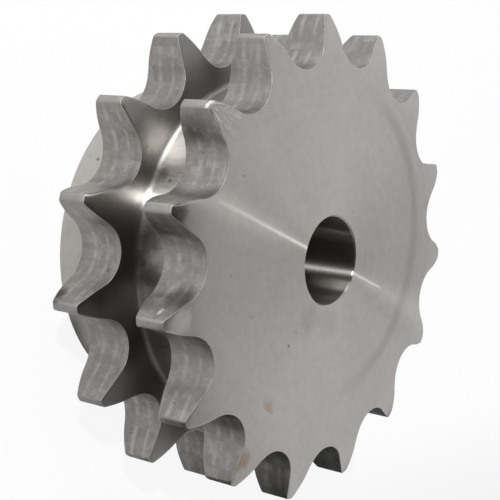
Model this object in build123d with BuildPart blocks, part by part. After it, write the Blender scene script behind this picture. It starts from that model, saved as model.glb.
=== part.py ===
from build123d import *
from math import acos, asin, atan2, cos, hypot, pi, radians, sin, tan
import os

# Double-strand roller-chain sprocket, turned and hobbed from one bar, in mm.
# The bore's axis is Z and the end face of the hub lies on z = 0, so the toothed
# face looks up. One tooth of each row points along +X.

# The chain it is made for
teeth = 15
pitch = 12.7             # from roller to roller
roller_dia = 8.51
row_spacing = 13.92      # from the middle of one row to the middle of the other
plate_room = 12.28       # across the chain's side plates as they swing onto the teeth

# Teeth
row_width = 7.05         # over the untouched middle of a row
seat_clearance = 0.21    # the seat's diameter over the roller's
seat_angle = 124.0       # arc of the seat, in degrees
flank_radius = 20.0
tip_rise = 2.1           # of the tooth's tip over the pitch circle
tip_round = 0.5          # rounding at the two corners of a tip
round_share = 0.8        # most that this rounding may be of a tip's width
flank_reach = 45.0       # turn of a flank's arc, in degrees, which carries it past the tips
blank_over = 1.0         # of the turned body past the tips, which the tooth outline trims

# Turned sides of the rows
side_slope = 2.0         # cone between the flat face and the roots, in degrees
side_radius = 20.0       # from the roots to the tips

# Groove between the rows and hub behind them
plate_clearance = 0.76   # groove below the side plates, on the diameter
hub_step = 0.85          # hub below the groove, on the radius
hub_length = 8.03        # from its end face to the back row
corner_radius = 0.8      # left by the turning tool in the groove and at the hub
hub_chamfer = 0.5

# Pilot bore
bore_dia = 12.0
bore_chamfer = 0.2

pitch_radius = pitch / sin(pi / teeth) / 2
seat_radius = (roller_dia + seat_clearance) / 2
root_radius = pitch_radius - seat_radius
tip_radius = pitch_radius + tip_rise
groove_radius = (pitch / tan(pi / teeth) - plate_room - plate_clearance) / 2
hub_radius = groove_radius - hub_step
bore_radius = bore_dia / 2
blank_radius = tip_radius + blank_over

back_low = hub_length
back_high = back_low + row_width
front_low = back_low + row_spacing
front_high = front_low + row_width

# Centre of a flank's arc, with the gap on +X, and the width that it leaves at the tip
seat_end = pi - radians(seat_angle) / 2
flank_x = pitch_radius + (seat_radius + flank_radius) * cos(seat_end)
flank_y = (seat_radius + flank_radius) * sin(seat_end)
flank_way = hypot(flank_x, flank_y)
flank_end = atan2(flank_y, flank_x) - acos(
    (flank_way ** 2 + tip_radius ** 2 - flank_radius ** 2) / (2 * flank_way * tip_radius))
tip_width = 2 * tip_radius * (pi / teeth - flank_end)

slope = radians(side_slope)
steepest = asin(sin(slope) + (blank_radius - root_radius) / side_radius)


def cone_depth(radius):
    # How far the cone lies below the flat face at this radius
    return (radius - hub_radius) * tan(slope)


def arc_point(angle):
    # Radius and depth of the side's arc where it has turned to this angle
    radius = root_radius + side_radius * (sin(angle) - sin(slope))
    depth = cone_depth(root_radius) + side_radius * (cos(slope) - cos(angle))
    return radius, depth


def side(face, sense, start):
    # One side of a row, from this radius out to the blank: its cone, then its arc
    def place(point):
        return point[0], face - sense * point[1]

    knee = place((root_radius, cone_depth(root_radius)))
    middle = place(arc_point((slope + steepest) / 2))
    rim = place(arc_point(steepest))
    Line(place((start, cone_depth(start))), knee)
    ThreePointArc(knee, middle, rim)
    return rim


with BuildPart() as sprocket:
    # Turned body: hub, back row, groove and front row around the bore
    with BuildSketch(Plane.XZ) as section:
        with BuildLine():
            Polyline((bore_radius, front_high), (bore_radius, 0), (hub_radius, 0), (hub_radius, back_low))
            under = side(back_low, -1, hub_radius)
            over = side(back_high, 1, groove_radius)
            Line(under, over)
            Line((groove_radius, back_high - cone_depth(groove_radius)),
                 (groove_radius, front_low + cone_depth(groove_radius)))
            under = side(front_low, -1, groove_radius)
            over = side(front_high, 1, hub_radius)
            Line(under, over)
            Line((hub_radius, front_high), (bore_radius, front_high))
        make_face()
        corners = section.vertices()
        inner = corners.filter_by(lambda v: abs(v.X - groove_radius) < 1e-4)
        inner += corners.filter_by(lambda v: abs(v.X - hub_radius) < 1e-4 and abs(v.Y - back_low) < 1e-4)
        fillet(inner, corner_radius)
        chamfer(section.vertices().filter_by(lambda v: abs(v.X - bore_radius) < 1e-4), bore_chamfer)
        chamfer(section.vertices().filter_by(lambda v: abs(v.X - hub_radius) < 1e-4 and abs(v.Y) < 1e-4),
                hub_chamfer)
    revolve(axis=Axis.Z)

    # Tooth outline: the tip circle less one roller gap per tooth
    with BuildSketch(Plane.XY) as outline:
        Circle(tip_radius)
        with BuildSketch(mode=Mode.PRIVATE) as gap:
            with BuildLine():
                turns = [seat_end + pi + radians(flank_reach) * share for share in (0, 0.5, 1)]
                upper = [(flank_x + flank_radius * cos(t), flank_y + flank_radius * sin(t)) for t in turns]
                lower = [(x, -y) for x, y in upper]
                ThreePointArc(lower[0], (root_radius, 0), upper[0])
                ThreePointArc(*upper)
                ThreePointArc(*lower)
                Line(lower[2], upper[2])
            make_face()
        with PolarLocations(0, teeth, start_angle=180 / teeth):
            add(gap.sketch, mode=Mode.SUBTRACT)
        tips = outline.vertices().filter_by(lambda v: hypot(v.X, v.Y) > pitch_radius)
        fillet(tips, min(tip_round, round_share * tip_width) if tip_width > 0 else tip_round)
    extrude(amount=front_high, mode=Mode.INTERSECT)

sprocket.part.label = "sprocket"
os.makedirs("parts", exist_ok=True)
export_step(sprocket.part, "parts/sprocket.step")
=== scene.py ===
from math import acos, asin, atan2, cos, hypot, pi, radians, sin, tan
from types import SimpleNamespace

import bmesh
import bpy
from mathutils import Matrix, Vector


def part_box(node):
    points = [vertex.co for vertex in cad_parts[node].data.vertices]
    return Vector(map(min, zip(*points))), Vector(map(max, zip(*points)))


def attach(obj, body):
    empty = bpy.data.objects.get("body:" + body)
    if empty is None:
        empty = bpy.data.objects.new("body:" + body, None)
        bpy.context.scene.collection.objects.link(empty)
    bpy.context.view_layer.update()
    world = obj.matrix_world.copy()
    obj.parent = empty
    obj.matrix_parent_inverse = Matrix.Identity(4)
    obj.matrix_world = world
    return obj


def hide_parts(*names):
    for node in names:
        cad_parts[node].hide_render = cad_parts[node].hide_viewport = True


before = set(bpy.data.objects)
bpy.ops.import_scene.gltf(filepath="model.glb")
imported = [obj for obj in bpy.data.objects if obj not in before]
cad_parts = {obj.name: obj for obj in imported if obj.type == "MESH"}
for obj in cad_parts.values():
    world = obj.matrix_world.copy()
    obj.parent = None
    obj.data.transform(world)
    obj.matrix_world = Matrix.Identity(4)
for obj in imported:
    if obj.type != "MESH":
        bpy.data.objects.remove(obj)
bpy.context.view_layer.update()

bl_info = {
    "name": "Chain Sprocket",
    "version": (1, 0, 0),
    "blender": (4, 5, 0),
    "location": "3D View > Sidebar > Sprocket",
    "description": "A double-strand roller-chain sprocket of turned and hobbed steel, with its studio",
    "category": "Add Mesh",
}

MM = 0.001
RIM_DEPTH = 1.0 * MM     # from the roots in to where the toothed rims join the turned body
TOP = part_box("sprocket")[1][2]      # height of the toothed face


# Settings

def length(label, text, value):
    return bpy.props.FloatProperty(
        name=label, description=text, default=value, min=0, unit="LENGTH", subtype="DISTANCE", precision=5)


def angle(label, text, value):
    return bpy.props.FloatProperty(
        name=label, description=text, default=radians(value), unit="ROTATION", subtype="ANGLE")


def count(label, text, value, lowest):
    return bpy.props.IntProperty(name=label, description=text, default=value, min=lowest)


def share(label, text, value):
    return bpy.props.FloatProperty(
        name=label, description=text, default=value, min=0, max=1, subtype="FACTOR")


def colour(label, text, value):
    return bpy.props.FloatVectorProperty(
        name=label, description=text, default=value, size=3, min=0, max=1, subtype="COLOR")


def direction(label, text, value):
    return bpy.props.FloatVectorProperty(
        name=label, description=text, default=value, size=3, subtype="DIRECTION")


def strength(label, text, value):
    return bpy.props.FloatProperty(name=label, description=text, default=value, min=0)


def power(label, text, value):
    return bpy.props.FloatProperty(
        name=label, description=text, default=value, min=0, unit="POWER", precision=7)


class SprocketSizes(bpy.types.PropertyGroup):
    teeth: count("Teeth", "Teeth in each row", 15, 9)
    pitch: length("Pitch", "Chain pitch, from roller to roller", 12.7 * MM)
    roller: length("Roller", "Diameter of the chain's rollers", 8.51 * MM)
    row_spacing: length("Row Spacing", "From the middle of one row to the middle of the other", 13.92 * MM)
    plate_room: length("Plate Room", "Height that the chain's side plates need in the groove", 12.28 * MM)
    plate_clearance: length("Plate Clearance", "Groove below the side plates, on the diameter", 0.76 * MM)
    seat_clearance: length("Seat Clearance", "A seat's diameter over the roller's", 0.21 * MM)
    seat_angle: angle("Seat Angle", "Arc of a roller's seat", 124)
    flank_radius: length("Flank Radius", "Radius of a tooth's flank", 20 * MM)
    tip_rise: length("Tip Rise", "Tips over the pitch circle", 2.1 * MM)
    tip_round: length("Tip Rounding", "Rounding of a tip's two corners", 0.5 * MM)
    row_width: length("Row Width", "Thickness of a row below its teeth", 7.05 * MM)
    side_slope: angle("Side Slope", "Cone on a row's sides, from the flat face to the roots", 2)
    side_radius: length("Side Radius", "Curve of a row's sides, from the roots to the tips", 20 * MM)
    hub_step: length("Hub Step", "Hub below the groove, on the radius", 0.85 * MM)
    corner: length("Corner Radius", "Left by the turning tool in the groove and at the hub", 0.8 * MM)
    hub_chamfer: length("Hub Chamfer", "On the hub's end", 0.5 * MM)
    bore: length("Bore", "Diameter of the pilot bore", 12 * MM)
    bore_chamfer: length("Bore Chamfer", "At both ends of the bore", 0.2 * MM)
    edge: length("Edge Break", "Small break on every sharp edge", 0.06 * MM)


class SteelFinish(bpy.types.PropertyGroup):
    turned: colour("Turned Steel", "Faces left by the lathe", (0.358, 0.344, 0.328))
    hobbed: colour("Hobbed Steel", "Roller seats and flanks", (0.298, 0.290, 0.283))
    # Edge Steel is burnished, and is also lighter than the faces as a painted highlight along the edges
    edge: colour("Edge Steel", "Burnished edges", (0.48, 0.47, 0.46))
    stain: colour("Stain", "Brown oil and rust stains", (0.20, 0.13, 0.08))
    # Soil paints real specks and smudges, and also painted shade: the broad dark spots in the groove and on
    # the front teeth near their tips
    soil_and_shade: colour("Soil", "Dark specks and smudges", (0.06, 0.055, 0.05))
    # Bare Steel paints real fresh scratches, and also painted highlights: the glints at a tooth's corner and
    # tip, and the light patches in the groove, on the walls and on a side
    bare_and_highlight: colour("Bare Steel", "Burrs and fresh scratches", (0.85, 0.84, 0.82))
    turned_roughness: share("Turned Roughness", "Roughness of the turned faces", 0.25)
    hobbed_roughness: share("Hobbed Roughness", "Roughness of the seats and flanks", 0.42)


class StudioSettings(bpy.types.PropertyGroup):
    camera_place: bpy.props.FloatVectorProperty(
        name="Camera Place", description="Where the camera stands", size=3, unit="LENGTH",
        subtype="TRANSLATION", default=(0.08200, 0.11211, 0.11854))
    camera_turn: bpy.props.FloatVectorProperty(
        name="Camera Turn", description="Which way the camera looks, with its roll", size=3, unit="ROTATION",
        subtype="EULER", default=(radians(-10.6046), radians(-52.6341), radians(-112.9458)))
    lens: bpy.props.FloatProperty(
        name="Lens", description="Focal length on a 36 mm frame", default=88.39, unit="CAMERA")
    floor: colour("Floor", "Floor under the sprocket", (0.9, 0.9, 0.9))
    floor_size: length("Floor Size", "Side of the square floor", 4.0)
    # The floor's dark side is painted shade, seen mostly where the steel mirrors the floor
    dark_floor: colour("Dark Floor", "The floor's dark side, where it falls off", (0.03, 0.03, 0.03))
    dark_side: direction("Dark Direction", "Towards the floor's dark side", (-0.85, 0.52, 0.0))
    dark_from: length("Dark From", "Where the floor begins to fall off, from the wheel's axis", 32 * MM)
    dark_to: length("Dark To", "Where the floor is fully dark, from the wheel's axis", 62 * MM)
    seen_white: share("Seen White", "Share of plain white in the studio that the camera sees", 0.9)
    mirrored_white: share("Mirrored White", "Share of plain white in the studio that the steel mirrors", 0.04)
    horizon: strength("Horizon", "Strength of the studio's walls", 1.25)
    overhead: strength("Overhead", "Strength of the studio's ceiling", 0.85)
    bright_side: direction("Bright Direction", "Towards the bright side", (-0.05, -1.0, 0.0))
    dim_share: share("Dim Share", "Strength of the dim side, and of the dim patch, next to the rest", 0.15)
    dim_patch: direction("Dim Patch", "Towards the dim patch, above the camera", (0.33, 0.42, 0.845))
    lamp_distance: length("Lamp Distance", "From the middle of the front face to the two lamps", 0.6)
    large_lamp: direction("Large Lamp", "Towards the large soft lamp", (0.936, -0.082, 0.342))
    large_size: length("Large Size", "Side of the large soft lamp", 0.28)
    large_power: power("Large Power", "Power of the large soft lamp", 2.0)
    large_tint: colour("Large Tint", "Colour of the large soft lamp", (1.0, 0.97, 0.94))
    small_lamp: direction("Small Lamp", "Towards the small lamp", (0.710, 0.408, 0.574))
    small_size: length("Small Size", "Side of the small lamp", 12 * MM)
    small_power: power("Small Power", "Power of the small lamp", 2.8)
    line_power: power(
        "Line Power", "Power of the slit that throws a thin line of light on the front face", 0.00000022)
    line_spread: angle("Line Spread", "How far the slit's light fans out", 1)
    line_height: length("Line Height", "From the front face to the slit", 30 * MM)
    line_turn: angle("Line Turn", "Which way the line of light crosses the face, from X", 42.2)
    line_length: length("Line Length", "Length of the line of light", 40 * MM)
    line_shift: length("Line Shift", "From the wheel's axis to the middle of the line of light", 6 * MM)
    line_width: length("Line Width", "Width of the line of light", 0.3 * MM)


def sprocket_table(sizes):
    """The lengths that follow from the chain and the sizes, with the hub's end on z = 0."""
    made = SimpleNamespace()
    made.seat = (sizes.roller + sizes.seat_clearance) / 2
    made.pitch_circle = sizes.pitch / sin(pi / sizes.teeth) / 2
    made.root = made.pitch_circle - made.seat
    made.tip = made.pitch_circle + sizes.tip_rise
    made.groove = (sizes.pitch / tan(pi / sizes.teeth) - sizes.plate_room - sizes.plate_clearance) / 2
    made.hub = made.groove - sizes.hub_step
    made.bore = sizes.bore / 2
    made.rim = made.root - RIM_DEPTH
    made.front = (TOP - sizes.row_width, TOP)
    made.back = tuple(z - sizes.row_spacing for z in made.front)

    # Flank: its arc goes on from the seat's, up to the tip's rounding, which touches the tip circle
    made.seat_end = pi - sizes.seat_angle / 2
    reach = made.seat + sizes.flank_radius
    made.flank_centre = Vector(
        (made.pitch_circle + reach * cos(made.seat_end), reach * sin(made.seat_end), 0))
    outer = sizes.flank_radius - sizes.tip_round
    inner = made.tip - sizes.tip_round
    way = made.flank_centre.length
    turn = acos((way ** 2 + inner ** 2 - outer ** 2) / (2 * way * inner))
    at = atan2(made.flank_centre.y, made.flank_centre.x) - turn
    made.round_centre = Vector((inner * cos(at), inner * sin(at), 0))
    leave = made.round_centre - made.flank_centre
    made.flank_sweep = atan2(leave.y, leave.x) - (made.seat_end - pi)
    made.round_sweep = at - atan2(leave.y, leave.x)
    made.land_sweep = pi / sizes.teeth - at
    return made


def side_depth(sizes, made, radius):
    """How far a row's side lies below its flat face at this radius."""
    cone = max(min(radius, made.root) - made.hub, 0) * tan(sizes.side_slope)
    if radius <= made.root:
        return cone
    turned = asin(sin(sizes.side_slope) + (radius - made.root) / sizes.side_radius)
    return cone + sizes.side_radius * (cos(sizes.side_slope) - cos(turned))


# Modelling by hand, in edit mode

COLUMNS = {"seat": 8, "flank": 7, "round": 4, "land": 1}     # in half a tooth
SIDE_CUTS = 5            # in a row's side, from the turned body to the teeth
WIDTH_STEPS = 4          # across the width of a row
CORNER_STEPS = 6         # round a corner left by the turning tool
EDGE_STEPS = 2           # across the break of a sharp edge
NEAR = 0.01 * MM         # points this near are one
SLACK = 0.02 * MM        # for finding a turned ring, and for joining the pieces
SHARP = radians(50)      # edges from this angle on are broken
SMOOTH = radians(30)     # edges up to this angle are shaded smooth


def new_point(name, place):
    """A new mesh of one point, left in edit mode with the point selected."""
    bpy.ops.object.select_all(action="DESELECT")
    bpy.ops.mesh.primitive_plane_add(size=MM, location=place)
    piece = bpy.context.object
    piece.name = piece.data.name = name
    bpy.ops.object.transform_apply(location=True, rotation=True, scale=True)
    bpy.ops.object.mode_set(mode="EDIT")
    bpy.ops.mesh.select_mode(type="VERT")
    bpy.ops.mesh.select_all(action="SELECT")
    bpy.ops.mesh.merge(type="CENTER")
    return piece


def next_point(place):
    """Starts another run of points in the mesh being edited."""
    bpy.ops.mesh.select_mode(type="VERT")
    bpy.ops.mesh.select_all(action="DESELECT")
    bpy.ops.mesh.primitive_plane_add(size=MM, location=place)
    bpy.ops.mesh.merge(type="CENTER")


def draw(*places):
    """Draws straight on from the selected point through these places."""
    mesh = bmesh.from_edit_mesh(bpy.context.object.data)
    at = next(v.co.copy() for v in mesh.verts if v.select)
    for place in places:
        step = Vector(place) - at
        bpy.ops.mesh.extrude_vertices_move(TRANSFORM_OT_translate={"value": step})
        at = Vector(place)


def swing(centre, turn, steps):
    """Draws an arc on from the selected point, counter-clockwise seen from above."""
    bpy.ops.mesh.spin(steps=steps, angle=-turn, center=centre, axis=(0, 0, 1))


def pick_edges(test):
    """Selects only the edges that pass the test."""
    bpy.ops.mesh.select_mode(type="EDGE")
    bpy.ops.mesh.select_all(action="DESELECT")
    data = bpy.context.object.data
    mesh = bmesh.from_edit_mesh(data)
    found = [edge for edge in mesh.edges if test(edge)]
    if not found:
        raise RuntimeError("no edge passes the test")
    for edge in found:
        edge.select_set(True)
    mesh.select_flush_mode()
    bmesh.update_edit_mesh(data)


def ring(radius, height):
    """A test for the edges of one turned ring."""
    def test(edge):
        return all(abs(hypot(v.co.x, v.co.y) - radius) < SLACK and abs(v.co.z - height) < SLACK
                   for v in edge.verts)
    return test


def turned_body(sizes, made):
    """Bore, faces, groove and hub, spun from half a section, up to the toothed rims."""
    def spot(radius, z):
        return radius, 0, z

    def below(radius):
        return side_depth(sizes, made, radius)

    (back_low, back_high), (front_low, front_high) = made.back, made.front
    body = new_point("turned_body", spot(made.rim, front_high - below(made.rim)))
    draw(spot(made.hub, front_high), spot((made.hub + made.bore) / 2, front_high),
         spot(made.bore, front_high), spot(made.bore, front_high / 2), spot(made.bore, 0),
         spot((made.hub + made.bore) / 2, 0), spot(made.hub, 0), spot(made.hub, back_low),
         spot(made.rim, back_low + below(made.rim)))
    next_point(spot(made.rim, back_high - below(made.rim)))
    draw(spot(made.groove, back_high - below(made.groove)), spot(made.groove, front_low + below(made.groove)),
         spot(made.rim, front_low + below(made.rim)))

    bpy.ops.mesh.select_all(action="SELECT")
    columns = sizes.teeth * 2 * sum(COLUMNS.values())
    bpy.ops.mesh.spin(steps=columns, angle=2 * pi, center=(0, 0, 0), axis=(0, 0, 1))
    bpy.ops.mesh.select_all(action="SELECT")
    bpy.ops.mesh.remove_doubles(threshold=NEAR)

    corners = [ring(made.groove, back_high - below(made.groove)),
               ring(made.groove, front_low + below(made.groove)), ring(made.hub, back_low)]
    pick_edges(lambda e: any(corner(e) for corner in corners))
    bpy.ops.mesh.bevel(offset=sizes.corner, segments=CORNER_STEPS)
    rims = [ring(made.bore, 0), ring(made.bore, front_high)]
    pick_edges(lambda e: any(rim(e) for rim in rims))
    bpy.ops.mesh.bevel(offset=sizes.bore_chamfer, segments=1)
    pick_edges(ring(made.hub, 0))
    bpy.ops.mesh.bevel(offset=sizes.hub_chamfer, segments=1)
    bpy.ops.object.mode_set(mode="OBJECT")
    return body


def toothed_rims(sizes, made):
    """Both rows' teeth: one gap is drawn, copied round, widened, and closed to a ring on either side."""
    middle = made.front[0] + sizes.row_width / 2
    rims = new_point("toothed_rims", (made.root, 0, middle))
    swing((made.pitch_circle, 0, middle), -sizes.seat_angle / 2, COLUMNS["seat"])
    swing((*made.flank_centre.xy, middle), made.flank_sweep, COLUMNS["flank"])
    swing((*made.round_centre.xy, middle), made.round_sweep, COLUMNS["round"])
    swing((0, 0, middle), made.land_sweep, COLUMNS["land"])
    bpy.ops.mesh.select_all(action="SELECT")
    bpy.ops.mesh.duplicate()
    bpy.ops.transform.resize(value=(1, -1, 1), center_override=(0, 0, 0))
    bpy.ops.mesh.select_all(action="SELECT")
    bpy.ops.mesh.remove_doubles(threshold=NEAR)
    bpy.ops.mesh.select_all(action="SELECT")
    bpy.ops.transform.rotate(value=pi / sizes.teeth, orient_axis="Z", center_override=(0, 0, 0))
    bpy.ops.mesh.spin(steps=sizes.teeth - 1, dupli=True, angle=2 * pi * (1 - 1 / sizes.teeth),
                      center=(0, 0, 0), axis=(0, 0, 1))
    bpy.ops.mesh.select_all(action="SELECT")
    bpy.ops.mesh.remove_doubles(threshold=NEAR)

    # Widened from the middle of the row to both sides
    columns = sizes.teeth * 2 * sum(COLUMNS.values())
    outline = len(bmesh.from_edit_mesh(rims.data).verts)
    if outline != columns:
        raise RuntimeError(f"the teeth have {outline} points, and the body {columns} columns")
    half = sizes.row_width / 2
    bpy.ops.mesh.select_all(action="SELECT")
    bpy.ops.transform.translate(value=(0, 0, -half))
    for _ in range(WIDTH_STEPS):
        bpy.ops.mesh.extrude_edges_move(TRANSFORM_OT_translate={"value": (0, 0, 2 * half / WIDTH_STEPS)})
    for side in (-1, 1):
        face = middle + side * half
        bpy.ops.mesh.select_all(action="DESELECT")
        bpy.ops.mesh.primitive_circle_add(vertices=columns, radius=made.rim, location=(0, 0, face))
        pick_edges(lambda e: all(abs(v.co.z - face) < NEAR for v in e.verts))
        bpy.ops.mesh.bridge_edge_loops(number_cuts=SIDE_CUTS, interpolation="LINEAR")
        bpy.ops.mesh.select_mode(type="VERT")
    bpy.ops.object.mode_set(mode="OBJECT")

    # Turned sides: a point's height goes by its radius alone, and the width between them follows
    for v in rims.data.vertices:
        offset = v.co.z - middle
        v.co.z = middle + offset * (1 - side_depth(sizes, made, hypot(v.co.x, v.co.y)) / half)

    bpy.ops.object.mode_set(mode="EDIT")
    bpy.ops.mesh.select_all(action="SELECT")
    bpy.ops.mesh.duplicate_move(TRANSFORM_OT_translate={"value": (0, 0, -sizes.row_spacing)})
    bpy.ops.object.mode_set(mode="OBJECT")
    return rims


FINISHES = ("face", "side", "tooth", "tip", "groove", "wall", "hub", "bore", "edge")

# Where one finish ends and the next begins, by how far the normal leans along the axis, and by place
SIDE_LEAN = 0.25
CHAMFER_LEAN = 0.3
WALL_LEAN = 0.7
END_LEAN = 0.8
TIP_DEPTH = 0.12 * MM        # below the tip circle
BORE_DEPTH = 0.3 * MM        # over the bore, which takes in its chamfers
HUB_REACH = 1.2 * MM         # over the foot of the back row
CORNER_REACH = 0.9 * MM      # over the hub, which takes in its corner
FACE_REACH = 0.05 * MM       # over the flat front face
END_HEIGHT = 0.1 * MM        # over the hub's end


def finish_of(face, sizes, made):
    """Which of the finishes a face has, by its place and normal."""
    height, lean = face.center.z, abs(face.normal.z)
    radius = hypot(face.center.x, face.center.y)
    half = sizes.row_width / 2
    between_rows = made.back[0] + half < height < made.front[0] + half
    if radius > made.rim:
        if lean > SIDE_LEAN:
            return "wall" if between_rows else "side"
        return "tip" if radius > made.tip - TIP_DEPTH else "tooth"
    if radius < made.bore + BORE_DEPTH:
        return "face" if lean > CHAMFER_LEAN else "bore"
    if between_rows:
        return "wall" if lean > WALL_LEAN else "groove"
    if height >= made.back[0] + HUB_REACH:
        return "face" if radius < made.hub + FACE_REACH else "side"
    if lean > END_LEAN and height < END_HEIGHT:
        return "face"
    return "hub" if radius < made.hub + CORNER_REACH else "side"


def join_and_finish(pieces, sizes, made):
    """Joins the pieces to one closed solid, breaks its sharp edges and shades it."""
    bpy.ops.object.select_all(action="DESELECT")
    for piece in pieces:
        piece.select_set(True)
    wheel = bpy.context.view_layer.objects.active = pieces[0]
    bpy.ops.object.join()
    wheel.name = wheel.data.name = "sprocket_wheel"
    for finish in FINISHES:
        wheel.data.materials.append(bpy.data.materials[finish])

    bpy.ops.object.mode_set(mode="EDIT")
    bpy.ops.mesh.select_all(action="SELECT")
    bpy.ops.mesh.remove_doubles(threshold=SLACK)
    bpy.ops.mesh.select_all(action="SELECT")
    bpy.ops.mesh.normals_make_consistent(inside=False)
    mesh = bmesh.from_edit_mesh(wheel.data)
    loose = sum(not edge.is_manifold for edge in mesh.edges)
    if loose:
        raise RuntimeError(f"the wheel isn't closed: {loose} loose edges")
    bpy.ops.object.mode_set(mode="OBJECT")
    for face in wheel.data.polygons:
        face.material_index = FINISHES.index(finish_of(face, sizes, made))

    bpy.ops.object.mode_set(mode="EDIT")
    bpy.ops.mesh.select_mode(type="EDGE")
    bpy.ops.mesh.select_all(action="DESELECT")
    bpy.ops.mesh.edges_select_sharp(sharpness=SHARP)
    bpy.ops.mesh.bevel(offset=sizes.edge, segments=EDGE_STEPS, material=FINISHES.index("edge"))
    bpy.ops.object.mode_set(mode="OBJECT")

    bpy.ops.object.shade_smooth_by_angle(angle=SMOOTH)
    weigh = wheel.modifiers.new("Even Shading", "WEIGHTED_NORMAL")
    weigh.keep_sharp = True
    bpy.ops.object.modifier_apply(modifier=weigh.name)
    return wheel


# Materials

# Patterns, to a mm or to a radian where nothing else is said
BAND_RINGS = 11.0        # rings in one of the wider bands
CHATTER_ROUND = 55.0     # round the wheel
CHATTER_ALONG = 0.3      # along the turned surface
ROWS_APART = 20.0        # keeps the second row's marks apart from the first row's
SWAY_ROUND = 2.2         # waves of the hob lines, round the gap
LINE_SWAY = 0.6          # mm that they sway
FACETS_ROUND = 4.3       # round the gap
FACET_WIDTH = 2.15       # mm across the row
FACET_SWAY = 1.3         # mm that their edges sway across the row
STREAKS_ROUND = 26.0     # round the gap
STREAKS_ALONG = 0.9      # across the row
CLOUDS_FINE = 0.12
MOTTLE_FINE = 0.8
HOB_MOTTLE_FINE = 1.3
GRAIN_FINE = 3.2
SPECK_CELL = 3           # width of a speck's cell, in specks
SPOT_GRAIN = 2.0         # ripples in a spot's outline, to its size
SPOT_SWELL = 1.9         # how ragged the outline of the smallest spots is
SCRATCHES_ROUND = 9.0    # round their start
SCRATCHES_ALONG = 0.35   # along them

# Lines where the hob's passes meet: place and width in mm across the row, and strength
HOB_LINES = ((-0.95, 0.55, 1.0), (1.25, 0.42, 0.8), (2.9, 0.3, 0.5))

# Marks on the steel: tone next to the steel's own, and strength
CLOUDS = (0.6, 0.12)
MOTTLE = (0.6, 0.15)
WEAR_AND_SHADE = (0.55, 0.4)
DULL_SCRATCHES = (0.45, 0.6)
HOB_MOTTLE = (0.7, 0.55)
HOB_STREAKS = (0.72, 0.3)
HOB_BRIGHT = (1.6, 0.6)
HOB_CLOUDS = (0.72, 0.25)
BAND_TONE = 0.7
BAND_CONTRAST = 3        # strength of the wider bands, next to the contrast of the rings
CHATTER_TONE = 0.45
BRIGHT_SCRATCHES = 0.5   # strength
SPECKS = 0.6             # strength
TURNED_SPECKS = 0.02     # share of the cells that hold a speck
HOBBED_SPECKS = 0.05

RIDGE_HEIGHT = 0.02 * MM
HOB_HEIGHT = 0.03 * MM
QUARTER_TURN = 0.25      # lays the streak of light across the rings


def put(tree, kind, inputs=(), **settings):
    """Adds a node. An input's value may be another node's output."""
    node = tree.nodes.new(kind)
    for name, value in settings.items():
        setattr(node, name, value)
    for key, value in inputs.items() if isinstance(inputs, dict) else enumerate(inputs):
        if isinstance(value, bpy.types.NodeSocket):
            tree.links.new(value, node.inputs[key])
        else:
            node.inputs[key].default_value = value
    return node


def calc(tree, operation, *values):
    return put(tree, "ShaderNodeMath", values, operation=operation).outputs[0]


def times(tree, first, second):
    return calc(tree, "MULTIPLY", first, second)


def in_mm(tree, value):
    return calc(tree, "DIVIDE", value, MM)


def aim(tree, operation, *vectors):
    """Vector maths that gives a vector."""
    return put(tree, "ShaderNodeVectorMath", vectors, operation=operation).outputs["Vector"]


def measure(tree, operation, *vectors):
    """Vector maths that gives a number."""
    return put(tree, "ShaderNodeVectorMath", vectors, operation=operation).outputs["Value"]


def combine(tree, x, y, z=0.0):
    return put(tree, "ShaderNodeCombineXYZ", [x, y, z]).outputs[0]


def separate(tree, vector):
    return put(tree, "ShaderNodeSeparateXYZ", [vector]).outputs


def mask(tree, value, low, high, to_low=0.0, to_high=1.0):
    """A smooth step of a value from low to high, which may also fall."""
    return put(tree, "ShaderNodeMapRange", {"Value": value, "From Min": low, "From Max": high,
               "To Min": to_low, "To Max": to_high}, interpolation_type="SMOOTHSTEP").outputs["Result"]


def blend(tree, factor, first, second):
    """Mixes two colours, each a colour or another node's output."""
    def paint(value):
        return value if isinstance(value, bpy.types.NodeSocket) else (*value, 1)

    # The node's sockets for colours are its inputs 6 and 7 and its output 2
    return put(tree, "ShaderNodeMix", {0: factor, 6: paint(first), 7: paint(second)},
               data_type="RGBA").outputs[2]


def lay(tree, tone, paint, where, strongly):
    """Lays a paint over a colour where a mask says."""
    return blend(tree, times(tree, where, strongly), tone, paint)


def shade(tree, tone, base, where, mark):
    """Lays a mark over a colour where a mask says, in a tone of the steel's own colour."""
    factor, strongly = mark
    return lay(tree, tone, scaled(base, factor), where, strongly)


def cloud(tree, vector, scale, detail=3.0, rough=0.5):
    return put(tree, "ShaderNodeTexNoise", {"Vector": vector, "Scale": scale, "Detail": detail,
               "Roughness": rough}).outputs["Fac"]


def new_group(name, inputs, outputs):
    """An empty node group, its inputs, and a function that says what each of its outputs gives.

    An input is a vector where nothing or a vector is given as its value. Outputs are numbers.
    """
    group = bpy.data.node_groups.new(name, "ShaderNodeTree")
    for label, value in inputs:
        kind = "NodeSocketVector" if value is None or isinstance(value, tuple) else "NodeSocketFloat"
        socket = group.interface.new_socket(label, in_out="INPUT", socket_type=kind)
        if value is not None:
            socket.default_value = value
    for label in outputs:
        group.interface.new_socket(label, in_out="OUTPUT", socket_type="NodeSocketFloat")
    start = group.nodes.new("NodeGroupInput").outputs
    end = group.nodes.new("NodeGroupOutput").inputs

    def give(**results):
        for label, value in results.items():
            group.links.new(value, end[label])
    return group, start, give


def use(tree, group, **inputs):
    named = {label.replace("_", " "): value for label, value in inputs.items()}
    return put(tree, "ShaderNodeGroup", named, node_tree=bpy.data.node_groups[group]).outputs


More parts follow.
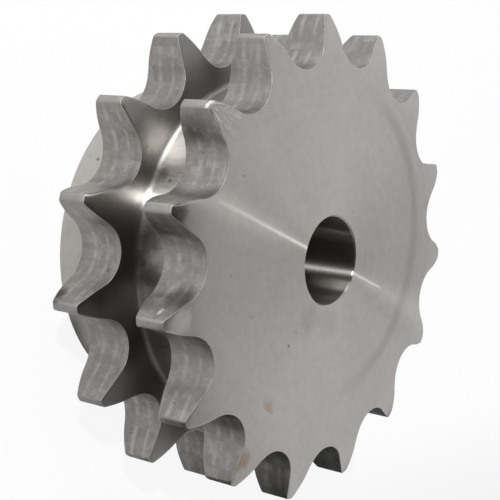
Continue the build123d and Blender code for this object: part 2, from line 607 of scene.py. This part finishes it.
def wheel_place_group():
    """Where a point lies on the wheel, in mm and radians. Along grows across any turned surface."""
    tree, start, give = new_group("Wheel Place", [("Vector", None)], ("Radius", "Height", "Turn", "Along"))
    at = separate(tree, start["Vector"])
    square = calc(tree, "ADD", times(tree, at["X"], at["X"]), times(tree, at["Y"], at["Y"]))
    radius = in_mm(tree, calc(tree, "SQRT", square))
    height = in_mm(tree, at["Z"])
    give(Radius=radius, Height=height, Turn=calc(tree, "ARCTAN2", at["Y"], at["X"]),
         Along=calc(tree, "ADD", radius, height))


def turning_marks_group():
    """Fine rings left by the lathe, wider bands of them, their ridges, and chatter across them."""
    tree, start, give = new_group("Turning Marks", [("Vector", None), ("Spacing", 0.2), ("Wander", 0.5)],
                                  ("Rings", "Bands", "Ridges", "Chatter"))
    place = use(tree, "Wheel Place", Vector=start["Vector"])
    across = times(tree, calc(tree, "COSINE", place["Turn"]), start["Wander"])
    deep = times(tree, calc(tree, "SINE", place["Turn"]), start["Wander"])
    step = calc(tree, "DIVIDE", place["Along"], start["Spacing"])
    rings = cloud(tree, combine(tree, step, across, deep), 1.0, 4.0, 0.65)
    wide = combine(tree, calc(tree, "DIVIDE", step, BAND_RINGS), across, deep)
    hop = combine(
        tree, times(tree, place["Turn"], CHATTER_ROUND), times(tree, place["Along"], CHATTER_ALONG))
    give(Rings=mask(tree, rings, 0.25, 0.75), Bands=mask(tree, cloud(tree, wide, 1.0, 2.0), 0.3, 0.7),
         Ridges=rings, Chatter=mask(tree, cloud(tree, hop, 1.0, 2.0), 0.45, 0.65))


def hob_marks_group():
    """Facets that the hob leaves round a gap, lines where its passes meet, and streaks across them."""
    tree, start, give = new_group(
        "Hob Marks", [("Vector", None), ("Teeth", 15.0), ("Pitch Radius", 30.54), ("Row Middle", 11.555),
                      ("Row Spacing", 13.92)], ("Facets", "Lines", "Streaks"))

    # Where a point lies: round the middle of its gap, and from the middle of its row
    place = use(tree, "Wheel Place", Vector=start["Vector"])
    step = calc(tree, "DIVIDE", 2 * pi, start["Teeth"])
    number = calc(tree, "FLOOR", calc(tree, "DIVIDE", place["Turn"], step))
    turn = calc(tree, "SUBTRACT", place["Turn"], times(tree, calc(tree, "ADD", number, 0.5), step))
    over = times(tree, place["Radius"], calc(tree, "SINE", turn))
    out = times(tree, place["Radius"], calc(tree, "COSINE", turn))
    round_gap = calc(tree, "ARCTAN2", over, calc(tree, "SUBTRACT", start["Pitch Radius"], out))
    border = calc(tree, "ADD", start["Row Middle"], calc(tree, "DIVIDE", start["Row Spacing"], 2.0))
    row = calc(tree, "GREATER_THAN", place["Height"], border)
    middle = calc(tree, "ADD", start["Row Middle"], times(tree, row, start["Row Spacing"]))
    level = calc(tree, "SUBTRACT", place["Height"], middle)
    gap = calc(tree, "ADD", number, times(tree, row, ROWS_APART))

    sway = combine(tree, times(tree, round_gap, SWAY_ROUND), gap)
    wobble = calc(tree, "SUBTRACT", cloud(tree, sway, 1.0, 3.0), 0.5)
    waved = calc(tree, "ADD", level, times(tree, wobble, LINE_SWAY))
    lines = 0.0
    for at, wide, strongly in HOB_LINES:
        off = calc(tree, "ABSOLUTE", calc(tree, "SUBTRACT", waved, at))
        lines = calc(tree, "MAXIMUM", lines, times(tree, mask(tree, off, wide, 0.05), strongly))
    broken = mask(tree, cloud(tree, sway, 1.4, 3.0), 0.38, 0.62, 0.1, 1.0)

    shifted = calc(tree, "ADD", level, times(tree, wobble, FACET_SWAY))
    band = calc(tree, "FLOOR", calc(tree, "DIVIDE", shifted, FACET_WIDTH))
    along = calc(tree, "ADD", times(tree, round_gap, FACETS_ROUND), times(tree, wobble, 0.8))
    cell = combine(tree, calc(tree, "FLOOR", along), gap, band)
    tone = put(tree, "ShaderNodeTexWhiteNoise", {"Vector": cell}, noise_dimensions="3D").outputs["Value"]
    run = combine(tree, times(tree, round_gap, STREAKS_ROUND), gap, times(tree, level, STREAKS_ALONG))
    give(Facets=tone, Lines=times(tree, lines, broken),
         Streaks=mask(tree, cloud(tree, run, 1.0, 4.0, 0.6), 0.3, 0.7))


def soil_group():
    """Dark specks, soft clouds of handling and oil, a finer mottle, and the grain of the steel."""
    tree, start, give = new_group("Soil", [("Vector", None), ("Speck Size", 0.3), ("Speck Share", 0.05)],
                                  ("Specks", "Clouds", "Mottle", "Grain"))
    vector = start["Vector"]
    scale = calc(tree, "DIVIDE", 1 / (SPECK_CELL * MM), start["Speck Size"])
    cells = put(tree, "ShaderNodeTexVoronoi", {"Vector": vector, "Scale": scale, "Randomness": 1.0}).outputs
    chance = put(tree, "ShaderNodeSeparateColor", [cells["Color"]]).outputs[0]
    dot = mask(tree, cells["Distance"], 0.2, 0.08)
    give(Specks=times(tree, dot, calc(tree, "LESS_THAN", chance, start["Speck Share"])),
         Clouds=mask(tree, cloud(tree, vector, CLOUDS_FINE / MM, 4.0, 0.55), 0.35, 0.68),
         Mottle=mask(tree, cloud(tree, vector, MOTTLE_FINE / MM, 4.0, 0.65), 0.35, 0.65),
         Grain=cloud(tree, vector, GRAIN_FINE / MM, 3.0, 0.6))


def spot_group():
    """A soft-edged spot round a place on the wheel. Its outline is the more ragged the smaller it is."""
    tree, start, give = new_group(
        "Spot", [("Vector", None), ("Centre", (0.0, 0.0, 0.0)), ("Size", 1.0)], ("Mask",))
    way = in_mm(tree, measure(tree, "DISTANCE", start["Vector"], start["Centre"]))
    grain = calc(tree, "DIVIDE", SPOT_GRAIN / MM, start["Size"])
    calmer = calc(tree, "ADD", 1.0, calc(tree, "DIVIDE", start["Size"], 2.0))
    swell = calc(tree, "DIVIDE", SPOT_SWELL, calmer)
    rough = calc(tree, "SUBTRACT", cloud(tree, start["Vector"], grain, 4.0, 0.6), 0.5)
    off = calc(tree, "ADD", calc(tree, "DIVIDE", way, start["Size"]), times(tree, rough, swell))
    give(Mask=mask(tree, off, 1.0, 0.25))


def ring_mark_group():
    """A soft ring round a place on the wheel, strongest towards one side."""
    tree, start, give = new_group(
        "Ring Mark", [("Vector", None), ("Centre", (0.0, 0.0, 0.0)), ("Radius", 20.0), ("Width", 1.0),
                      ("Side", (1.0, 0.0, 0.0))], ("Mask",))
    way = aim(tree, "SUBTRACT", start["Vector"], start["Centre"])
    far = in_mm(tree, measure(tree, "LENGTH", way))
    off = calc(tree, "ABSOLUTE", calc(tree, "SUBTRACT", far, start["Radius"]))
    line = mask(tree, calc(tree, "DIVIDE", off, start["Width"]), 1.0, 0.0)
    toward = measure(tree, "DOT_PRODUCT", aim(tree, "NORMALIZE", way), start["Side"])
    give(Mask=times(tree, line, mask(tree, toward, 0.0, 0.8)))


def scratch_group():
    """Scratches that fan out from a place on the wheel's end, and the dull ones between them."""
    tree, start, give = new_group(
        "Scratches", [("Vector", None), ("Centre", (0.0, 0.0, 0.0)), ("Size", 5.0)], ("Bright", "Dull"))
    way = aim(tree, "SUBTRACT", start["Vector"], start["Centre"])
    off = in_mm(tree, measure(tree, "LENGTH", way))
    at = separate(tree, way)
    turn = calc(tree, "ARCTAN2", at["Y"], at["X"])
    run = combine(tree, times(tree, turn, SCRATCHES_ROUND), times(tree, off, SCRATCHES_ALONG))
    lines = cloud(tree, run, 1.0, 3.0, 0.6)
    fade = mask(tree, calc(tree, "DIVIDE", off, start["Size"]), 1.0, 0.15)
    give(Bright=times(tree, mask(tree, lines, 0.48, 0.68), fade),
         Dull=times(tree, mask(tree, lines, 0.48, 0.3), fade))


def scaled(base, factor):
    return tuple(min(part * factor, 1.0) for part in base)


def in_metres(place):
    return tuple(part * MM for part in place)


def steel_start(name):
    """A new material's tree, its shader and its Object coordinates."""
    steel = bpy.data.materials.new(name)
    steel.use_nodes = True
    tree = steel.node_tree
    shader = tree.nodes["Principled BSDF"]
    shader.inputs["Metallic"].default_value = 1
    return tree, shader, put(tree, "ShaderNodeTexCoord").outputs["Object"]


def lay_tangent(tree, shader, vector):
    """Lays the grain of the finish round the wheel's axis, so that light streaks across it."""
    round_axis = aim(tree, "CROSS_PRODUCT", (0.0, 0.0, 1.0), vector)
    turned = put(tree, "ShaderNodeVectorTransform", [round_axis], vector_type="VECTOR",
                 convert_from="OBJECT", convert_to="WORLD").outputs[0]
    tree.links.new(turned, shader.inputs["Tangent"])


# Spots on each finish: centre and size in mm, strength, and which of the finish's paints
# A burr along a front tooth's top corner, with its glint as a painted highlight in small bright spots
BURR_GLINT = [(place, 0.4, 0.75, "bare_and_highlight") for place in (
    (29.4, 13.8, 27.3), (29.7, 13.5, 27.4), (29.9, 13.1, 27.6), (29.9, 12.7, 27.8))]
SPOTS = {
    "face": [((-10.2, 19.9, 29.0), 1.7, 0.4, "stain"), ((-5.2, 12.7, 29.0), 0.35, 0.7, "soil_and_shade"),
             ((-4.6, 7.2, 29.0), 3.2, 0.17, "soil_and_shade"), ((-7.4, 3.8, 29.0), 3.2, 0.13, "soil_and_shade")],
    # On the sides: the dark spot near one front tip is painted shade, and the bare spot near another is
    # painted light
    "side": [((-13.7, 26.2, 28.6), 1.9, 0.6, "stain"), ((21.2, 23.9, 27.9), 2.3, 0.75, "soil_and_shade"),
             ((9.5, 29.2, 28.2), 2.6, 0.45, "bare_and_highlight"), *BURR_GLINT],
    # On the teeth: the two broad dark spots on front flanks are painted shade, and the three small bare spots
    # are a painted glint at a tip
    "tooth": [((11.0, 26.6, 26.8), 2.8, 0.5, "soil_and_shade"), ((26.9, 13.8, 25.0), 2.6, 0.35, "soil_and_shade"),
              ((10.8, 29.6, 26.0), 0.35, 0.5, "bare_and_highlight"), ((10.8, 29.3, 26.0), 0.35, 0.5, "bare_and_highlight"),
              ((10.9, 29.0, 26.1), 0.35, 0.5, "bare_and_highlight"), ((11.5, 24.2, 13.5), 0.35, 0.7, "soil_and_shade"),
              ((10.8, 29.6, 9.3), 1.7, 0.9, "soil_and_shade")],
    "tip": [((10.8, 30.6, 9.2), 1.5, 0.8, "soil_and_shade"), *BURR_GLINT],
    # In the groove: the broad dark spots are painted shade between the rows, and the two bare spots are a
    # painted highlight and a painted streak of light along the corner
    "groove": [((18.9, 13.7, 17.9), 0.35, 0.7, "soil_and_shade"), ((21.4, 9.4, 17.0), 3.6, 0.3, "bare_and_highlight"),
               ((11.4, 20.4, 15.6), 2.0, 0.6, "soil_and_shade"), ((19.2, 13.3, 16.4), 1.4, 0.5, "soil_and_shade"),
               ((13.3, 19.2, 17.2), 2.7, 0.7, "soil_and_shade"), ((9.6, 21.3, 17.6), 2.4, 0.5, "soil_and_shade"),
               ((6.3, 22.7, 15.4), 3.2, 0.95, "bare_and_highlight")],
    # On the walls between the rows, the bare spots are painted light
    "wall": [((23.0, 12.9, 15.0), 0.5, 0.8, "stain"), ((23.5, 10.8, 15.0), 3.4, 0.3, "bare_and_highlight"),
             ((6.5, 24.0, 15.0), 5.5, 0.3, "bare_and_highlight"), ((17.9, 16.4, 15.1), 2.0, 0.18, "bare_and_highlight")],
    "hub": [((19.5, 11.2, 3.5), 0.35, 0.7, "soil_and_shade")],
    "bore": [],
    "edge": BURR_GLINT,
}
# A worn ring at the shallow step round the face, with painted shade: it is darkest towards one side, where
# the step turns from the light
WORN_RING_AND_SHADE = {"Centre": in_metres((1.7, -1.6, 29.0)), "Radius": 21.3, "Width": 1.8,
             "Side": (-0.53, -0.85, 0.0)}
SCRATCHES = {"Centre": in_metres((29.8, 13.3, 28.0)), "Size": 6.5}


def lay_spots(tree, vector, tone, name, finish):
    """Lays a finish's spots over its colour: stains and soil, and painted shade and highlights."""
    for centre, size, strongly, paint in SPOTS[name]:
        spot = use(tree, "Spot", Vector=vector, Centre=in_metres(centre), Size=size)
        tone = lay(tree, tone, getattr(finish, paint), spot["Mask"], strongly)
    return tone


def turned_steel(name, finish, base, roughness, grain, spacing, contrast, ridges, chatter=0.0,
                 worn_and_shaded=False, scratched=False):
    """Steel as the lathe leaves it, with rings of this spacing in mm, clouds, specks and its own spots."""
    tree, shader, vector = steel_start(name)
    marks = use(tree, "Turning Marks", Vector=vector, Spacing=spacing)
    soil_and_shade = use(tree, "Soil", Vector=vector, Speck_Share=TURNED_SPECKS)
    tone = blend(tree, marks["Rings"], scaled(base, 1 - contrast), scaled(base, 1 + contrast))
    tone = shade(tree, tone, base, marks["Bands"], (BAND_TONE, contrast * BAND_CONTRAST))
    tone = shade(tree, tone, base, soil_and_shade["Clouds"], CLOUDS)
    tone = shade(tree, tone, base, soil_and_shade["Mottle"], MOTTLE)
    tone = lay(tree, tone, finish.soil_and_shade, soil_and_shade["Specks"], SPECKS)
    if chatter:
        tone = shade(tree, tone, base, marks["Chatter"], (CHATTER_TONE, chatter))
    # A worn ring with painted shade, darker towards one side
    if worn_and_shaded:
        tone = shade(tree, tone, base, use(tree, "Ring Mark", Vector=vector, **WORN_RING_AND_SHADE)["Mask"], WEAR_AND_SHADE)
    if scratched:
        fan = use(tree, "Scratches", Vector=vector, **SCRATCHES)
        tone = shade(tree, tone, base, fan["Dull"], DULL_SCRATCHES)
        tone = lay(tree, tone, finish.bare_and_highlight, fan["Bright"], BRIGHT_SCRATCHES)
    tone = lay_spots(tree, vector, tone, name, finish)
    tree.links.new(tone, shader.inputs["Base Color"])
    dull = mask(tree, marks["Rings"], 0.0, 1.0, roughness - contrast, roughness + contrast)
    tree.links.new(dull, shader.inputs["Roughness"])
    shader.inputs["Anisotropic"].default_value = grain
    shader.inputs["Anisotropic Rotation"].default_value = QUARTER_TURN
    lay_tangent(tree, shader, vector)
    bump = put(tree, "ShaderNodeBump", {"Strength": ridges, "Distance": RIDGE_HEIGHT,
                                        "Height": marks["Ridges"]})
    tree.links.new(bump.outputs[0], shader.inputs["Normal"])


def hobbed_steel(name, finish, sizes, made):
    """Steel as the hob leaves it: facets round the gap, lines along them and streaks across."""
    tree, shader, vector = steel_start(name)
    base, roughness = finish.hobbed, finish.hobbed_roughness
    hob = use(tree, "Hob Marks", Vector=vector, Teeth=float(sizes.teeth), Pitch_Radius=made.pitch_circle / MM,
              Row_Middle=(made.back[0] + sizes.row_width / 2) / MM, Row_Spacing=sizes.row_spacing / MM)
    soil_and_shade = use(tree, "Soil", Vector=vector, Speck_Share=HOBBED_SPECKS)
    mottle = mask(tree, cloud(tree, vector, HOB_MOTTLE_FINE / MM, 3.0, 0.6), 0.35, 0.65)
    tone = blend(tree, hob["Facets"], scaled(base, 0.8), scaled(base, 1.25))
    tone = shade(tree, tone, base, mottle, HOB_MOTTLE)
    tone = shade(tree, tone, base, hob["Streaks"], HOB_STREAKS)
    tone = shade(tree, tone, base, hob["Lines"], HOB_BRIGHT)
    tone = shade(tree, tone, base, soil_and_shade["Clouds"], HOB_CLOUDS)
    tone = lay(tree, tone, finish.soil_and_shade, soil_and_shade["Specks"], SPECKS)
    tone = lay_spots(tree, vector, tone, name, finish)
    tree.links.new(tone, shader.inputs["Base Color"])
    dull = mask(tree, hob["Facets"], 0.0, 1.0, roughness - 0.04, roughness + 0.05)
    tree.links.new(dull, shader.inputs["Roughness"])
    fine = calc(tree, "ADD", times(tree, hob["Streaks"], 0.4), times(tree, soil_and_shade["Grain"], 0.3))
    height = calc(tree, "ADD", times(tree, hob["Lines"], 0.8), fine)
    bump = put(tree, "ShaderNodeBump", {"Strength": 0.12, "Distance": HOB_HEIGHT, "Height": height})
    tree.links.new(bump.outputs[0], shader.inputs["Normal"])


def make_finishes(finish, sizes, made):
    """Every finish on the wheel, by its name in FINISHES."""
    for group in (wheel_place_group, turning_marks_group, hob_marks_group, soil_group, spot_group,
                  ring_mark_group, scratch_group):
        group()
    smooth = {"grain": 1.0, "contrast": 0.012, "ridges": 0.006}
    front = {"roughness": finish.turned_roughness, "spacing": 0.16, "worn_and_shaded": True, **smooth}
    turned_steel("face", finish, finish.turned, **front)
    turned_steel("side", finish, finish.turned, scratched=True, **front)
    turned_steel("tip", finish, scaled(finish.turned, 0.93), roughness=0.45, grain=0.5, spacing=0.3,
                 contrast=0.04, ridges=0.05)
    turned_steel("groove", finish, scaled(finish.turned, 1.03), roughness=0.33, spacing=0.25,
                 chatter=0.35, **smooth)
    # The walls between the rows are a darker copy of the turned steel: painted shade between the rows
    turned_steel("wall", finish, scaled(finish.turned, 0.63), roughness=0.3, spacing=0.25, **smooth)
    # The hub is a lighter copy of the turned steel: painted light, against the floor's shade beside it
    turned_steel("hub", finish, scaled(finish.turned, 1.32), roughness=0.4, grain=0.5, spacing=0.3,
                 contrast=0.02, ridges=0.02)
    turned_steel("bore", finish, scaled(finish.turned, 0.88), roughness=0.32, spacing=0.3,
                 chatter=0.15, **smooth)
    turned_steel("edge", finish, finish.edge, roughness=0.45, grain=0.0, spacing=0.3,
                 contrast=0.05, ridges=0.05)
    hobbed_steel("tooth", finish, sizes, made)


# Studio

CEILING_FROM = 0.3       # how steeply a ray rises where the walls begin to turn into the ceiling
PATCH_RIM = 0.55         # cosine of the angle from the dim patch's middle to its outer edge
PATCH_CORE = 0.8         # cosine of the angle from its middle to where it is fully dim
NEAREST = 5 * MM         # from the camera to the nearest that it sees


def white_share(tree, seen, mirrored):
    """How much plain white the camera and the steel see in the studio, which lights nothing else."""
    path = put(tree, "ShaderNodeLightPath").outputs
    straight = calc(tree, "MAXIMUM", path["Is Camera Ray"], path["Is Transmission Ray"])
    return calc(tree, "MAXIMUM", times(tree, straight, seen), times(tree, path["Is Glossy Ray"], mirrored))


def toward_share(tree, vector, way):
    """How far a vector points the way that is named."""
    return measure(tree, "DOT_PRODUCT", vector, Vector(way).normalized())


def make_floor(studio):
    """A white floor, whose matt colour falls off to a painted shade on one side, seen mostly in the steel's
    reflections.
    """
    bpy.ops.object.select_all(action="DESELECT")
    bpy.ops.mesh.primitive_plane_add(size=studio.floor_size)
    floor = bpy.context.object
    floor.name = "floor"
    paint = bpy.data.materials.new("floor_white")
    paint.use_nodes = True
    tree = paint.node_tree
    tree.nodes.clear()
    part = white_share(tree, studio.seen_white, studio.mirrored_white)
    away = toward_share(tree, put(tree, "ShaderNodeTexCoord").outputs["Object"], studio.dark_side)
    tone = blend(tree, mask(tree, away, studio.dark_from, studio.dark_to), studio.floor, studio.dark_floor)
    matt = put(tree, "ShaderNodeBsdfDiffuse", {"Color": tone})
    white = put(tree, "ShaderNodeEmission", {"Color": (1, 1, 1, 1), "Strength": 1.0})
    mix = put(tree, "ShaderNodeMixShader", [part, matt.outputs[0], white.outputs[0]])
    put(tree, "ShaderNodeOutputMaterial", [mix.outputs[0]])
    floor.data.materials.append(paint)


def make_world(scene, studio):
    """Walls and ceiling, dim on one side and in one patch above the camera."""
    scene.world = scene.world or bpy.data.worlds.new("studio")
    scene.world.use_nodes = True
    tree = scene.world.node_tree
    way = put(tree, "ShaderNodeTexCoord").outputs["Generated"]
    side = toward_share(tree, way, studio.bright_side)
    near = toward_share(tree, way, studio.dim_patch)
    glow = mask(tree, separate(tree, way)["Z"], CEILING_FROM, 1.0, studio.horizon, studio.overhead)
    glow = times(tree, glow, mask(tree, side, -1.0, 1.0, studio.dim_share, 1.0))
    glow = times(tree, glow, mask(tree, near, PATCH_RIM, PATCH_CORE, 1.0, studio.dim_share))
    part = white_share(tree, 1.0, studio.mirrored_white)
    white = calc(tree, "ADD", part, times(tree, glow, calc(tree, "SUBTRACT", 1.0, part)))
    background = tree.nodes["Background"].inputs
    tree.links.new(white, background["Strength"])
    background["Color"].default_value = (1, 1, 1, 1)


def add_lamp(name, place, turn, wide, tall, energy, tint=(1.0, 1.0, 1.0)):
    """A rectangular lamp."""
    bpy.ops.object.light_add(type="AREA", location=place)
    lamp = bpy.context.object
    lamp.name = name
    lamp.data.shape = "RECTANGLE"
    lamp.data.size, lamp.data.size_y = wide, tall
    lamp.data.energy = energy
    lamp.data.color = tint
    lamp.rotation_euler = turn.to_euler()
    return lamp


def make_lamps(studio):
    """The large soft lamp, the small one, and the slit for the line of light."""
    face = Vector((0, 0, TOP))
    for name, way, size, energy, tint in (
            ("large_lamp", studio.large_lamp, studio.large_size, studio.large_power, studio.large_tint),
            ("small_lamp", studio.small_lamp, studio.small_size, studio.small_power, (1.0, 1.0, 1.0))):
        toward = Vector(way).normalized()
        add_lamp(name, toward * studio.lamp_distance + face, toward.to_track_quat("Z", "Y"), size, size,
                 energy, tint)

    # The slit shines along the mirror of the camera's view, so that the face shows its line
    along = Vector((cos(studio.line_turn), sin(studio.line_turn), 0))
    centre = along * studio.line_shift + face
    view = (Vector(studio.camera_place) - centre).normalized()
    toward = Vector((-view.x, -view.y, view.z))
    lean = along - along.dot(toward) * toward
    across = toward.cross(lean).normalized()
    turn = Matrix((lean.normalized(), across, toward)).transposed()
    lamp = add_lamp("line_lamp", centre + toward * studio.line_height, turn,
                    studio.line_length * lean.length, studio.line_width, studio.line_power)
    lamp.data.spread = studio.line_spread


def make_camera(scene, studio):
    bpy.ops.object.camera_add(location=studio.camera_place, rotation=studio.camera_turn)
    scene.camera = bpy.context.object
    scene.camera.name = "camera"
    scene.camera.data.lens = studio.lens
    scene.camera.data.clip_start = NEAREST
    scene.view_settings.view_transform = "Standard"


# Operators

class SPROCKET_OT_wheel(bpy.types.Operator):
    """Build the sprocket from its sizes, in the steel finishes"""
    bl_idname = "sprocket.wheel"
    bl_label = "Sprocket"

    def execute(self, context):
        sizes, finish = context.scene.sprocket_sizes, context.scene.sprocket_finish
        made = sprocket_table(sizes)
        make_finishes(finish, sizes, made)
        wheel = join_and_finish([turned_body(sizes, made), toothed_rims(sizes, made)], sizes, made)
        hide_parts("sprocket")
        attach(wheel, "root")
        return {"FINISHED"}


class SPROCKET_OT_studio(bpy.types.Operator):
    """Set up the floor, the lamps, the world and the camera"""
    bl_idname = "sprocket.studio"
    bl_label = "Studio"

    def execute(self, context):
        studio = context.scene.sprocket_studio
        make_floor(studio)
        make_world(context.scene, studio)
        make_lamps(studio)
        make_camera(context.scene, studio)
        return {"FINISHED"}


class SPROCKET_PT_panel(bpy.types.Panel):
    bl_idname = "SPROCKET_PT_panel"
    bl_label = "Chain Sprocket"
    bl_space_type = "VIEW_3D"
    bl_region_type = "UI"
    bl_category = "Sprocket"

    def draw(self, context):
        scene = context.scene
        for title, group, operator in (
                ("Sizes", scene.sprocket_sizes, SPROCKET_OT_wheel.bl_idname),
                ("Finish", scene.sprocket_finish, None),
                ("Studio", scene.sprocket_studio, SPROCKET_OT_studio.bl_idname)):
            box = self.layout.box()
            box.label(text=title)
            for name in group.__annotations__:
                box.prop(group, name)
            if operator:
                box.operator(operator)


CLASSES = (SprocketSizes, SteelFinish, StudioSettings, SPROCKET_OT_wheel, SPROCKET_OT_studio,
           SPROCKET_PT_panel)


def register():
    for each in CLASSES:
        bpy.utils.register_class(each)
    bpy.types.Scene.sprocket_sizes = bpy.props.PointerProperty(type=SprocketSizes)
    bpy.types.Scene.sprocket_finish = bpy.props.PointerProperty(type=SteelFinish)
    bpy.types.Scene.sprocket_studio = bpy.props.PointerProperty(type=StudioSettings)


def unregister():
    del bpy.types.Scene.sprocket_studio
    del bpy.types.Scene.sprocket_finish
    del bpy.types.Scene.sprocket_sizes
    for each in reversed(CLASSES):
        bpy.utils.unregister_class(each)


def main():
    register()
    bpy.ops.sprocket.studio()
    bpy.ops.sprocket.wheel()


if __name__ == "__main__":
    main()
